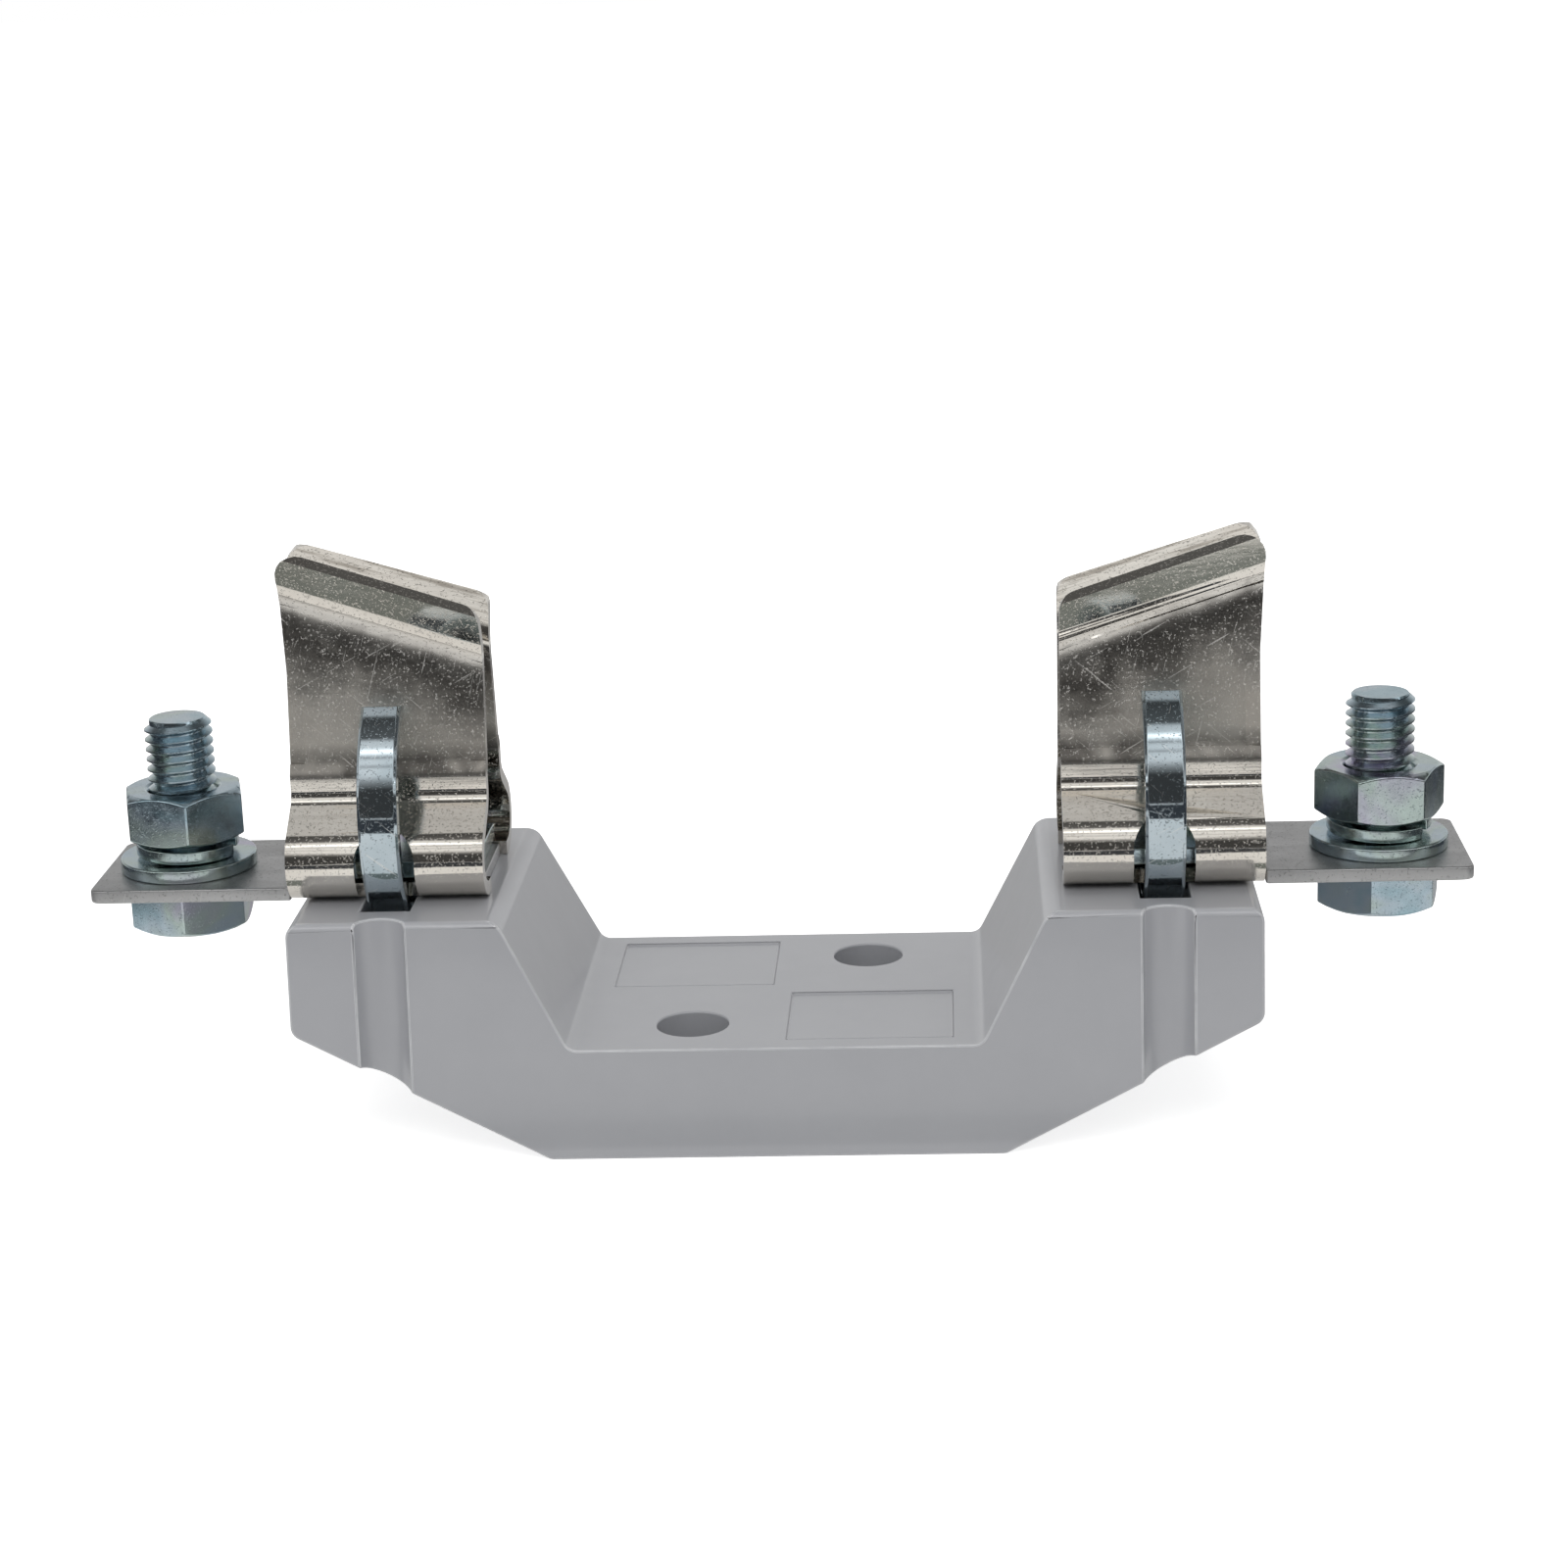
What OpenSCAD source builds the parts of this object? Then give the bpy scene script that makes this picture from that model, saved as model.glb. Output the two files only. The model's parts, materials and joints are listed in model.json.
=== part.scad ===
// Fuse base for knife-blade fuse links: a moulded two-tower base, a sprung
// lyre contact on each tower and a bolted terminal strap at each end.
// The origin is the middle of the underside. X runs along the base, Z is up.

/* [Overall] */
// Distance between the two terminal bolts
bolt_spacing = 177; // [172:0.5:182]
// Distance between the middles of the two contacts
contact_spacing = 112.4; // [110:0.2:113]

/* [Base moulding] */
// Length of the base over the towers
base_length = 139.4; // [138:0.2:143]
// Depth of the base at its underside
base_depth = 54; // [52:0.5:58]
// Depth of the towers at their top
tower_depth = 48; // [46:0.5:50]
// Height of the tower tops
tower_height = 35.3; // [34.5:0.1:38]
// Height of the floor between the towers
floor_height = 16.2; // [14:0.1:19]
// Distance between the tower tops
tower_gap = 78.4; // [76:0.2:80]
// Length of the floor between the sloped tower sides
floor_length = 59.2; // [56:0.2:62]
// Length of the flat underside
foot_length = 65.6; // [62:0.2:70]
// Height of the outer ends' lower edge
end_height = 19; // [17:0.2:20]
// Radius of the tower shoulders
shoulder_r = 3; // [1:0.1:4]
// Radius of the other profile corners
profile_r = 2; // [1:0.1:2.5]
// Radius along the front and rear edges of the tower tops
rim_r = 1.2; // [0.6:0.1:2]
// Width of the upright channel in each tower face
channel_width = 7.3; // [6:0.1:8]
// Depth of the upright channel
channel_depth = 2.6; // [1.5:0.1:3]
// Depth of the label panels in the floor
panel_depth = 0.3; // [0.2:0.05:0.6]
// Length of a label panel
panel_length = 24; // [20:0.5:26]
// Width of a label panel
panel_width = 20; // [16:0.5:21]
// Distance of a label panel's middle from the base's long middle line
panel_offset = 12; // [11.5:0.1:13]

/* [Mounting holes] */
// Diameter of the two mounting holes
mount_hole_d = 10.5; // [8:0.1:11]
// Distance between the mounting holes along the base
mount_pitch_x = 25; // [22:0.5:28]
// Distance between the mounting holes across the base
mount_pitch_y = 30; // [28:0.5:32]

/* [Underside] */
// Depth of the hollows under the floor
floor_hollow_depth = 10; // [6:0.5:11]
// Length of a hollow under the floor
floor_hollow_length = 19; // [14:0.5:20]
// Width of a hollow under the floor
floor_hollow_width = 17; // [12:0.5:18]
// Height that the hollows under the towers reach
tower_hollow_top = 23; // [20:0.5:25]
// Length of a hollow under a tower
tower_hollow_length = 17; // [12:0.5:18]
// Width of a hollow under a tower
tower_hollow_width = 10; // [7:0.5:11]
// Distance of a tower hollow's middle from the base's long middle line
tower_hollow_offset = 14.5; // [14:0.1:15.5]

/* [Terminal straps] */
// Distance from a terminal bolt to the end of its strap
strap_end = 12.3; // [11.5:0.1:14]
// Width of a strap
strap_width = 25; // [22:0.5:28]
// Thickness of a strap
strap_thickness = 2; // [1.6:0.1:2.4]
// Width of the strap's tongue between the contact's feet
tongue_width = 16.9; // [15:0.1:17]
// Radius of the strap's outer corners
strap_corner_r = 1.6; // [0.6:0.1:3]
// Diameter of the hole for the terminal bolt
strap_hole_d = 11; // [10.4:0.1:12]

/* [Contacts] */
// Width of a contact
contact_width = 28.8; // [27.4:0.2:29.4]
// Thickness of the contact sheet
sheet = 2; // [1.8:0.05:2.2]
// Outer radius of the roll at the foot of a contact half
roll_r = 5.6; // [5.2:0.1:6]
// Distance between the middles of the front and rear rolls
roll_spacing = 21.4; // [21:0.1:22.4]
// Outer distance over the upright bands above the rolls
band_spacing = 16.4; // [15.6:0.1:17]
// Slope of the sheet between roll and band, in degrees from level
shoulder_slope = 34; // [30:1:40]
// Outer radius of the hollow bend between that slope and the band
hollow_r = 2.2; // [1.5:0.1:3]
// Height of the upright band above the roll's slope
band_height = 3.9; // [3:0.1:5]
// Inward step of the sheet at the crease
crease_step = 1; // [0.6:0.05:1.2]
// Height of the crease
crease_rise = 1.6; // [1.3:0.1:2.2]
// Height of the leaning plate from the crease to the throat
plate_height = 20.5; // [18:0.1:22]
// Gap between the jaws at the throat with no fuse link in
throat_gap = 4.5; // [4.3:0.1:5.6]
// Height of the lips above the throat at the middle of the contact
lip_rise = 6.1; // [6:0.1:8.4]
// Lean of the lips from upright, in degrees
lip_lean = 25; // [20:1:32]
// Slant of the lips' upper edge, in degrees
lip_slant = 17.5; // [10:0.5:20]
// Bend radius of the sheet's middle at the throat
flare_r = 5.8; // [4:0.1:7]
// Radius of the lips' upper corners
lip_corner_r = 3.2; // [1:0.1:4]
// How far the lips widen at the contact's outer side
lip_overhang = 1.1; // [0:0.1:2]
// Width of the bevelled border along the sides of a jaw plate
border_width = 2.2; // [1.2:0.1:3]
// Angle of that border to the plate, in degrees
border_angle = 6; // [4:1:10]

/* [Spring rings] */
// Outer radius of a spring ring
ring_r = 19.5; // [19:0.1:20]
// Thickness of the ring's bar
ring_thickness = 2.6; // [2.2:0.1:2.8]
// Width of the ring's bar
ring_width = 5.8; // [5:0.1:6.2]
// Height of the ring's middle
ring_height = 47; // [46.8:0.1:47.6]
// Slope of the ring's cut ends, in degrees from level
ring_end_slope = 14; // [0:1:30]
// Width of the slot in the tower that takes the ring
slot_width = 7.2; // [6.8:0.1:7.6]
// Length of that slot
slot_length = 36; // [34:0.5:38]
// Width of the notch in each roll that the ring passes through
notch_width = 8.8; // [8:0.1:10]
// Height of the notch's arched top
notch_top = 46.4; // [45:0.1:46.8]

/* [Clamp plates] */
// Length of a clamp plate
clamp_length = 25; // [23:0.5:27]
// Width of a clamp plate over the contact's feet
clamp_width = 19.8; // [19:0.1:20.4]
// Thickness of a clamp plate
clamp_thickness = 2.5; // [2:0.1:3]
// Height that the clamp plate stands over the feet
clamp_relief = 0.35; // [0.3:0.05:0.6]
// Distance between the two fixing screws of a contact
screw_spacing = 15; // [14:0.1:15.6]
// Thread diameter of the fixing screws
screw_d = 4; // [3.5:0.1:4.2]
// Clearance on the diameter of the fixing screw holes
screw_play = 0.5; // [0.3:0.05:0.8]
// Length of a fixing screw under its head
screw_length = 20; // [19.5:0.5:24]
// Width across flats of the fixing screws and their nuts
screw_flats = 7; // [6.4:0.1:7.2]
// Height of a fixing screw's head
screw_head = 2.8; // [2.4:0.1:3.2]
// Thickness of a fixing screw's washer
screw_washer = 0.9; // [0.7:0.1:1.2]
// Height of a fixing nut
screw_nut = 3.2; // [2.8:0.1:3.6]
// Height of the seat of the fixing nuts under the tower
nut_seat = 24.5; // [23.8:0.1:25]

/* [Terminal hardware] */
// Thread diameter of the terminal bolts
bolt_d = 10; // [9.6:0.1:10.2]
// Length of a terminal bolt under its head
bolt_length = 25; // [23:0.5:28]
// Height of the bolt's head
bolt_head = 6.7; // [5.8:0.1:7.2]
// Width across flats of bolt head and nut
bolt_flats = 16.7; // [16:0.1:17]
// Height of a terminal nut
nut_height = 7.4; // [6.8:0.1:8.4]
// Depth of the countersinks in a terminal nut
nut_sink = 0.6; // [0.3:0.05:0.8]
// Outer diameter of a flat washer
washer_d = 20.2; // [19.6:0.1:21.6]
// Thickness of a flat washer
washer_thickness = 2; // [1.6:0.1:2.4]
// Outer diameter of a spring washer
spring_d = 15.2; // [14.6:0.1:16.4]
// Height of a spring washer's bar
spring_bar = 1.9; // [1.6:0.1:2]
// Rise of the spring washer over its one turn
spring_rise = 1.1; // [0.6:0.05:1.6]

/* [Hidden] */
$fn = 64;

// Colours as the photograph shows them
grey_moulding = [0.62, 0.62, 0.64];
strap_grey = [0.66, 0.66, 0.68];
nickel = [0.80, 0.78, 0.75];
ring_zinc = [0.50, 0.56, 0.60];
bolt_zinc = [0.52, 0.62, 0.66];

// Gap between pieces that must stay free of each other
seat_gap = 0.15;
// Gap under a thread or round a shank
shank_gap = 0.05;
// Segments in each rounded corner of a profile
corner_steps = 6;
// Segments in each bend of the contact sheet
bend_steps = 8;
// Room added to a cutter so that it passes right through
through = 1;

half_length = base_length / 2;
contact_x = contact_spacing / 2;
contact_inner = contact_x - contact_width / 2;
contact_outer = contact_x + contact_width / 2;
draft = atan((base_depth - tower_depth) / 2 / tower_height);
strap_top = tower_height + strap_thickness;
roll_y = roll_spacing / 2;
roll_z = tower_height + seat_gap + roll_r;
roll_mid = roll_r - sheet / 2;
band_mid = band_spacing / 2 - sheet / 2;
foot_end = tongue_width / 2 + 3 * seat_gap;
clamp_bottom = strap_top + clamp_relief;
clamp_top = clamp_bottom + clamp_thickness;
slot_floor = ring_height - ring_r - 2 * seat_gap;
hollow_corner_r = 2;

// The sheet leaves the roll along the slope, on a chord that dips a little into the roll
roll_end_angle = 90 - shoulder_slope;
roll_overlap = acos(1 - 0.03 / roll_mid);
roll_end = [roll_y, roll_z]
    + roll_mid * [cos(roll_end_angle - roll_overlap), sin(roll_end_angle - roll_overlap)];
band_foot = roll_end[1] + (roll_end[0] - band_mid) * tan(shoulder_slope);

// The jaw plate's middle line runs from the crease to the throat
crease_y = band_mid - crease_step;
crease_height = band_foot + band_height;
crease_top = crease_height + crease_rise;
throat_height = crease_top + plate_height;
flare_half = (lip_lean + atan((crease_y - throat_gap / 2) / (throat_height - crease_top))) / 2;
throat_y = throat_gap / 2 + sheet / 2 - flare_r * (1 / cos(flare_half) - 1);
plate_lean = atan((crease_y - throat_y) / (throat_height - crease_top));
flare_angle = plate_lean + lip_lean;
flare_reach = flare_r * tan(flare_angle / 2);
plate_length = norm([crease_y - throat_y, throat_height - crease_top]);
lip_length = lip_rise / cos(lip_lean) - sheet / 2 * tan(lip_lean);
// Where the plate changes from the level sheet to the slanted one
plate_split = contact_width / 2 * tan(lip_slant) + flare_reach + 1.5;

// Ring opening: its ends rest against the jaw plates
ring_inner = ring_r - ring_thickness;
ring_touch_z = ring_height + ring_inner * cos(21);
ring_touch_y = throat_y + (throat_height - ring_touch_z) * tan(plate_lean)
    + sheet / 2 / cos(plate_lean) + seat_gap;
ring_open = asin(ring_touch_y / ring_inner);

washer_top = strap_top + washer_thickness;
spring_top = washer_top + spring_bar + spring_rise;

function unit(v) = v / norm(v);
function left_of(v) = [-v[1], v[0]];
function turn_sign(a, b) = sign(a[0] * b[1] - a[1] * b[0]);
function turn_angle(a, b) = acos(min(1, a * b));

// Points of one bend at vertex b of the path a, b, c, moved by off to its left
function bend(a, b, c, r, off, steps) =
    let(
        d1 = unit(b - a),
        d2 = unit(c - b),
        s = turn_sign(d1, d2),
        angle = turn_angle(d1, d2),
        from = b - d1 * r * tan(angle / 2),
        centre = from + left_of(d1) * s * r,
        start = atan2(from[1] - centre[1], from[0] - centre[0])
    )
    [for (k = [0:steps])
        centre + (r - s * off) * [cos(start + s * angle * k / steps), sin(start + s * angle * k / steps)]];

// One side of a bent strip, moved by off to the left of its path
function strip_side(path, radii, off, steps) =
    let(last = len(path) - 1)
    concat(
        [path[0] + left_of(unit(path[1] - path[0])) * off],
        [for (i = [1:1:last - 1])
            each bend(path[i - 1], path[i], path[i + 1], radii[i], off, steps)],
        [path[last] + left_of(unit(path[last] - path[last - 1])) * off]
    );

function reversed(list) = [for (i = [len(list) - 1:-1:0]) list[i]];

// Outline of a sheet bent along a path
function strip(path, radii, thickness, steps) =
    concat(
        strip_side(path, radii, thickness / 2, steps),
        reversed(strip_side(path, radii, -thickness / 2, steps))
    );

// Closed outline with each corner rounded to its own radius
function rounded(points, radii, steps) =
    let(n = len(points))
    [for (i = [0:n - 1])
        each (radii[i] > 0
            ? bend(points[(i + n - 1) % n], points[i], points[(i + 1) % n], radii[i], 0, steps)
            : [points[i]])];

// Rectangle with rounded corners about the origin
function rounded_box(size, r) =
    rounded(
        [[-size[0], -size[1]] / 2, [size[0], -size[1]] / 2, [size[0], size[1]] / 2, [-size[0], size[1]] / 2],
        [r, r, r, r], corner_steps
    );

// Draws a Y-Z outline as a solid along X
module along_x(length) {
    rotate([90, 0, 90])
        linear_extrude(height = length, center = true)
            children();
}

// Draws an X-Z outline as a solid along Y
module along_y(length) {
    rotate([90, 0, 0])
        linear_extrude(height = length, center = true)
            children();
}

// Puts a piece that is modelled for the right end at either end
module at_end(side) {
    if (side > 0) {
        children();
    } else {
        mirror([1, 0, 0]) children();
    }
}

// Hexagon of a given width across flats
module hexagon(flats) {
    circle(d = flats / cos(30), $fn = 6);
}

// Right half of the base's outline, from the underside round to the floor
function base_outline() =
    let(
        half = [
            [foot_length / 2, 0],
            [half_length, end_height],
            [half_length, tower_height],
            [tower_gap / 2, tower_height],
            [floor_length / 2, floor_height]
        ],
        other = [for (p = reversed(half)) [-p[0], p[1]]],
        radii = [profile_r, profile_r, profile_r, shoulder_r, profile_r]
    )
    rounded(concat(half, other), concat(radii, reversed(radii)), corner_steps);

// Section across the base, with drafted faces and rounded upper rims
function base_section() =
    rounded(
        [
            [-base_depth / 2, 0],
            [base_depth / 2, 0],
            [tower_depth / 2, tower_height],
            [-tower_depth / 2, tower_height]
        ],
        [0, 0, rim_r, rim_r], corner_steps
    );

module face_channels() {
    channel_r = (pow(channel_width / 2, 2) + pow(channel_depth, 2)) / (2 * channel_depth);
    for (side = [-1, 1]) {
        for (face = [-1, 1]) {
            translate([side * contact_x, face * (base_depth / 2 - channel_depth + channel_r), 0])
                rotate([face * draft, 0, 0])
                    translate([0, 0, -through])
                        cylinder(r = channel_r, h = tower_height + 4 * through);
        }
    }
}

module mounting_holes() {
    for (side = [-1, 1]) {
        translate([side * mount_pitch_x / 2, side * mount_pitch_y / 2, -through])
            cylinder(d = mount_hole_d, h = floor_height + 2 * through);
    }
}

module label_panels() {
    for (side = [-1, 1]) {
        translate([side * (panel_length / 2 + 1.5), -side * panel_offset, floor_height - panel_depth])
            linear_extrude(height = panel_depth + through)
                square([panel_length, panel_width], center = true);
    }
}

module underside_hollows() {
    for (side = [-1, 1]) {
        translate([side * mount_pitch_x / 2, -side * mount_pitch_y / 2, -through])
            linear_extrude(height = floor_hollow_depth + through)
                polygon(rounded_box([floor_hollow_length, floor_hollow_width], hollow_corner_r));
        for (face = [-1, 1]) {
            translate([side * contact_x, face * tower_hollow_offset, -through])
                linear_extrude(height = tower_hollow_top + through)
                    polygon(rounded_box([tower_hollow_length, tower_hollow_width], hollow_corner_r));
        }
    }
}

module tower_fixings() {
    for (side = [-1, 1]) {
        translate([side * contact_x, 0, slot_floor])
            linear_extrude(height = tower_height - slot_floor + through)
                square([slot_width, slot_length], center = true);
        for (end = [-1, 1]) {
            translate([side * contact_x + end * screw_spacing / 2, 0, 0]) {
                cylinder(d = screw_d + screw_play, h = tower_height + through);
                translate([0, 0, -through])
                    linear_extrude(height = nut_seat + through)
                        hexagon(screw_flats + 2 * seat_gap);
            }
        }
    }
}

// Moulded base with its towers, holes, slots and hollows
module base_body() {
    color(grey_moulding)
        difference() {
            intersection() {
                along_y(base_depth + 2 * through) polygon(base_outline());
                along_x(base_length + 2 * through) polygon(base_section());
            }
            face_channels();
            mounting_holes();
            label_panels();
            underside_hollows();
            tower_fixings();
        }
}

// Strap from the terminal bolt to the contact, with a tongue between the feet
module strap(side) {
    color(strap_grey)
        at_end(side)
            translate([0, 0, tower_height])
                linear_extrude(height = strap_thickness)
                    difference() {
                        polygon(rounded(
                            [
                                [contact_inner + 1, -tongue_width / 2],
                                [contact_outer + 2 * seat_gap, -tongue_width / 2],
                                [contact_outer + 2 * seat_gap, -strap_width / 2],
                                [bolt_spacing / 2 + strap_end, -strap_width / 2],
                                [bolt_spacing / 2 + strap_end, strap_width / 2],
                                [contact_outer + 2 * seat_gap, strap_width / 2],
                                [contact_outer + 2 * seat_gap, tongue_width / 2],
                                [contact_inner + 1, tongue_width / 2]
                            ],
                            [0, 0, 0, strap_corner_r, strap_corner_r, 0, 0, 0], corner_steps
                        ));
                        translate([bolt_spacing / 2, 0]) circle(d = strap_hole_d);
                        for (end = [-1, 1]) {
                            translate([contact_x + end * screw_spacing / 2, 0])
                                circle(d = screw_d + screw_play);
                        }
                    }
}

// Plate that holds the strap's tongue and the contact's feet down
module clamp_plate(side) {
    color(bolt_zinc)
        at_end(side)
            translate([contact_x, 0, 0])
                difference() {
                    union() {
                        translate([0, 0, strap_top])
                            linear_extrude(height = clamp_relief)
                                square([clamp_length, tongue_width], center = true);
                        translate([0, 0, clamp_bottom])
                            linear_extrude(height = clamp_thickness)
                                square([clamp_length, clamp_width], center = true);
                    }
                    for (end = [-1, 1]) {
                        translate([end * screw_spacing / 2, 0, strap_top - through])
                            cylinder(d = screw_d + screw_play, h = clamp_relief + clamp_thickness + 2 * through);
                    }
                }
}

// Level part of a contact half: foot, roll, band and the start of the plate
module jaw_lower() {
    plate_dir = [-sin(plate_lean), cos(plate_lean)];
    path = [
        roll_end,
        [band_mid, band_foot],
        [band_mid, crease_height],
        [crease_y, crease_top],
        [throat_y, throat_height] - plate_dir * plate_split
    ];
    radii = [0, hollow_r + sheet / 2, sheet / 2 + 0.4, 2 * sheet, 0];
    reach = roll_r + 1;
    along_x(contact_width) {
        polygon(strip(path, radii, sheet, bend_steps));
        translate([roll_y, roll_z])
            intersection() {
                difference() {
                    circle(r = roll_r);
                    circle(r = roll_r - sheet);
                }
                polygon([
                    [0, 0],
                    [0, -reach],
                    [reach, -reach],
                    [reach, reach],
                    [reach / tan(roll_end_angle + roll_overlap), reach]
                ]);
            }
        translate([foot_end, roll_z - roll_r])
            square([roll_y - foot_end, sheet]);
    }
}

// Frame at the throat: Z up the plate, Y out of it
module at_throat() {
    translate([0, throat_y, throat_height])
        rotate([plate_lean, 0, 0])
            children();
}

// Slanted part of a contact half: the rest of the plate, the flare and the lip
module jaw_upper() {
    lip_end = lip_length * [sin(flare_angle), cos(flare_angle)];
    lip_top = lip_end[1] + sheet / 2 * sin(flare_angle);
    rise = contact_width / 2 * tan(lip_slant);
    top = lip_top / cos(lip_slant);
    at_throat()
        intersection() {
            rotate([0, -lip_slant, 0])
                along_x(2 * contact_width)
                    polygon(strip([[0, -2 * plate_split], [0, 0], lip_end], [0, flare_r, 0], sheet, bend_steps));
            // The lower end is a ridge inside the sheet
            along_x(2 * contact_width)
                polygon([
                    [0, -plate_split - 1],
                    [2 * plate_split, plate_split - 1],
                    [2 * plate_split, 4 * lip_length],
                    [-2 * plate_split, 4 * lip_length],
                    [-2 * plate_split, plate_split - 1]
                ]);
            along_y(4 * lip_length)
                polygon(rounded(
                    [
                        [-contact_width / 2, -2 * plate_split],
                        [contact_width / 2, -2 * plate_split],
                        [contact_width / 2, 0.5 - plate_split],
                        [contact_width / 2 + lip_overhang, top + rise + lip_overhang * tan(lip_slant)],
                        [-contact_width / 2, top - rise]
                    ],
                    [0, 0, 0, lip_corner_r, lip_corner_r], corner_steps
                ));
        }
}

// Bevel along one side of the plate's outer face
module border_cut(edge) {
    at_throat()
        intersection() {
            translate([edge * (contact_width / 2 - border_width), sheet / 2, -plate_length])
                mirror([edge > 0 ? 0 : 1, 0, 0])
                    rotate([0, 0, -border_angle])
                        cube([2 * border_width, sheet, 2 * plate_length]);
            rotate([0, -lip_slant, 0])
                translate([-contact_width, 0, -2 * plate_length])
                    cube([2 * contact_width, 2 * sheet, 2 * plate_length - flare_reach]);
        }
}

// Arched notch that lets the spring ring through the roll
module ring_notch() {
    start = roll_y + 0.8;
    depth = roll_y + roll_r + through - start;
    arch_z = notch_top - notch_width / 2;
    translate([0, start + depth / 2, 0])
        along_y(depth) {
            translate([0, arch_z]) circle(d = notch_width);
            translate([-notch_width / 2, tower_height - through])
                square([notch_width, arch_z - tower_height + through]);
        }
}

// One half of a lyre contact; face is -1 for the front half and 1 for the rear
module jaw(side, face) {
    color(nickel)
        at_end(side)
            translate([contact_x, 0, 0])
                mirror([0, face > 0 ? 0 : 1, 0])
                    difference() {
                        union() {
                            jaw_lower();
                            jaw_upper();
                        }
                        ring_notch();
                        border_cut(-1);
                        border_cut(1);
                    }
}

// Open ring of flat bar that presses the two jaws together
module spring_ring(side) {
    reach = 2 * ring_r;
    // The ends are cut nearly level, from the corner that touches the jaw
    tip = ring_inner * [sin(ring_open), cos(ring_open)];
    end_dir = 4 * ring_thickness * [cos(ring_end_slope), sin(ring_end_slope)];
    color(ring_zinc)
        at_end(side)
            translate([contact_x, 0, ring_height])
                along_x(ring_width)
                    difference() {
                        circle(r = ring_r, $fn = 96);
                        circle(r = ring_inner, $fn = 96);
                        polygon([
                            [0, 0],
                            [tip[0], tip[1]],
                            [tip[0] + end_dir[0], tip[1] + end_dir[1]],
                            [tip[0] + end_dir[0], reach],
                            [-tip[0] - end_dir[0], reach],
                            [-tip[0] - end_dir[0], tip[1] + end_dir[1]],
                            [-tip[0], tip[1]]
                        ]);
                    }
}

// Screw, washer and nut places of one contact
module at_fixings(side) {
    for (end = [-1, 1]) {
        translate([side * contact_x + end * screw_spacing / 2, 0, 0]) children();
    }
}

// Hexagon with both ends turned down to a chamfer
module chamfered_hexagon(flats, height, low, high) {
    corner = flats / cos(30) / 2;
    cut = (corner - flats / 2 + 0.15) * tan(30);
    intersection() {
        linear_extrude(height = height) hexagon(flats);
        rotate_extrude()
            polygon([
                [0, 0],
                [low ? flats / 2 - 0.15 : corner + 0.1, 0],
                [corner + 0.1, low ? cut : 0],
                [corner + 0.1, high ? height - cut : height],
                [high ? flats / 2 - 0.15 : corner + 0.1, height],
                [0, height]
            ]);
    }
}

module fixing_screws(side) {
    color(bolt_zinc)
        at_fixings(side) {
            translate([0, 0, clamp_top + screw_washer])
                chamfered_hexagon(screw_flats, screw_head, false, true);
            translate([0, 0, clamp_top + screw_washer - screw_length])
                cylinder(d = screw_d, h = screw_length);
        }
}

module fixing_washers(side) {
    color(bolt_zinc)
        at_fixings(side)
            translate([0, 0, clamp_top])
                linear_extrude(height = screw_washer)
                    difference() {
                        circle(d = screw_flats);
                        circle(d = screw_d + 2 * shank_gap);
                    }
}

module fixing_nuts(side) {
    color(bolt_zinc)
        at_fixings(side)
            translate([0, 0, nut_seat - screw_nut])
                difference() {
                    chamfered_hexagon(screw_flats, screw_nut, true, true);
                    translate([0, 0, -through])
                        cylinder(d = screw_d + 2 * shank_gap, h = screw_nut + 2 * through);
                }
}

// Puts a piece on the axis of a terminal bolt
module at_terminal(side) {
    translate([side * bolt_spacing / 2, 0, 0]) children();
}

module terminal_bolt(side) {
    tip = 1;
    color(bolt_zinc)
        at_terminal(side) {
            translate([0, 0, tower_height - bolt_head])
                rotate([0, 0, side > 0 ? 18 : 34])
                    chamfered_hexagon(bolt_flats, bolt_head, true, false);
            translate([0, 0, tower_height])
                cylinder(d = bolt_d, h = bolt_length - tip);
            translate([0, 0, tower_height + bolt_length - tip])
                cylinder(d1 = bolt_d, d2 = bolt_d - 2 * tip, h = tip);
        }
}

module flat_washer(side) {
    color(bolt_zinc)
        at_terminal(side)
            translate([0, 0, strap_top])
                linear_extrude(height = washer_thickness)
                    difference() {
                        circle(d = washer_d);
                        circle(d = strap_hole_d - 0.5);
                    }
}

// Split ring that rises over one turn
module spring_washer(side) {
    inner = bolt_d / 2 + 3 * shank_gap;
    outer = spring_d / 2;
    turn = 352;
    steps = 32;
    points = [for (k = [0:steps])
        let(a = 90 - turn * k / steps, z = spring_rise * k / steps)
        each [
            [inner * cos(a), inner * sin(a), z],
            [outer * cos(a), outer * sin(a), z],
            [outer * cos(a), outer * sin(a), z + spring_bar],
            [inner * cos(a), inner * sin(a), z + spring_bar]
        ]];
    sides = [for (k = [0:steps - 1], j = [0:3])
        [4 * k + j, 4 * k + (j + 1) % 4, 4 * k + 4 + (j + 1) % 4, 4 * k + 4 + j]];
    ends = [[3, 2, 1, 0], [4 * steps, 4 * steps + 1, 4 * steps + 2, 4 * steps + 3]];
    color(bolt_zinc)
        at_terminal(side)
            translate([0, 0, washer_top])
                rotate([0, 0, side > 0 ? -130 : -104])
                    polyhedron(points, concat(sides, ends), convexity = 4);
}

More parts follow.
